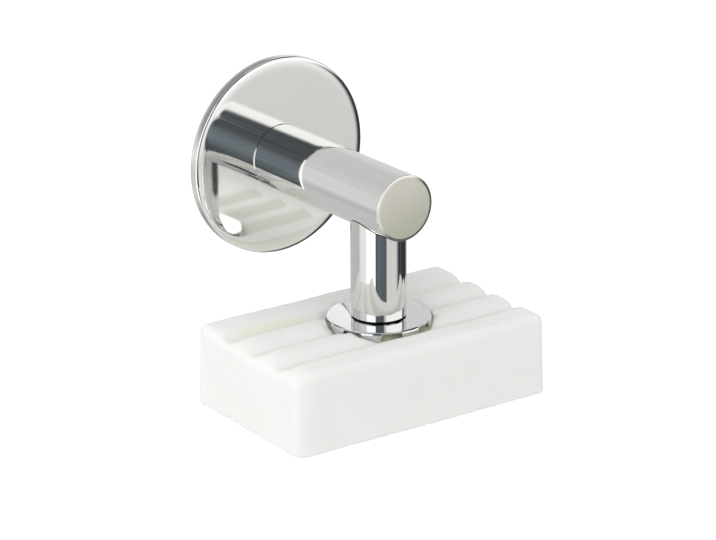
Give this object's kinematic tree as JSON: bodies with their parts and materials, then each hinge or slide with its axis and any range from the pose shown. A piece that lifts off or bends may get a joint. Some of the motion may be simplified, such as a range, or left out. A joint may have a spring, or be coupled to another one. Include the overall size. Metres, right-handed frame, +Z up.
{
  "type": "magnetic soap holder",
  "caption": "Wall-held soap holder: a round disc, straight arm and short post whose magnet holds a toothed steel cap pressed into a ridged soap bar.",
  "frame": {"origin": "centre of the adhesive face that meets the wall", "axes": "+Y into the wall, +Z up, the arm runs along -Y"},
  "size_m": [0.082, 0.0741, 0.0842],
  "materials": {
    "foam_pad": "closed-cell foam tape",
    "polished_chrome": "mirror polished",
    "cap_steel": "mirror polished pressed sheet",
    "fastener_steel": "plain stainless",
    "plug_metal": "turned",
    "seat_plastic": "moulded",
    "pot_steel": "black coated",
    "magnet_nickel": "nickel plated",
    "soap": "waxy, slightly translucent"
  },
  "bodies": {
    "holder": {"adhesive_pad": "foam_pad", "wall_disc": "polished_chrome", "disc_screw": "fastener_steel", "locating_pin": "fastener_steel", "arm_plug": "plug_metal", "arm_tube": "polished_chrome", "arm_end_cap": "polished_chrome", "arm_saddle": "plug_metal", "post_screw": "fastener_steel", "spring_washer": "fastener_steel", "post_plug": "plug_metal", "post_tube": "polished_chrome", "magnet_seat": "seat_plastic", "magnet_pot": "pot_steel"},
    "swivel_magnet": {"magnet": "magnet_nickel"},
    "capped_soap": {"soap_cap": "cap_steel", "soap_bar": "soap"}
  },
  "joints": [
    {"name": "magnet_swivel", "type": "hinge", "parent": "holder", "child": "swivel_magnet", "pos_m": [0, -0.0475, -0.033], "axis": [0, 0, 1], "continuous": true},
    {"name": "magnet_release", "type": "slide", "parent": "swivel_magnet", "child": "capped_soap", "axis": [0, 0, -1], "range_m": [0, 0.04]}
  ]
}
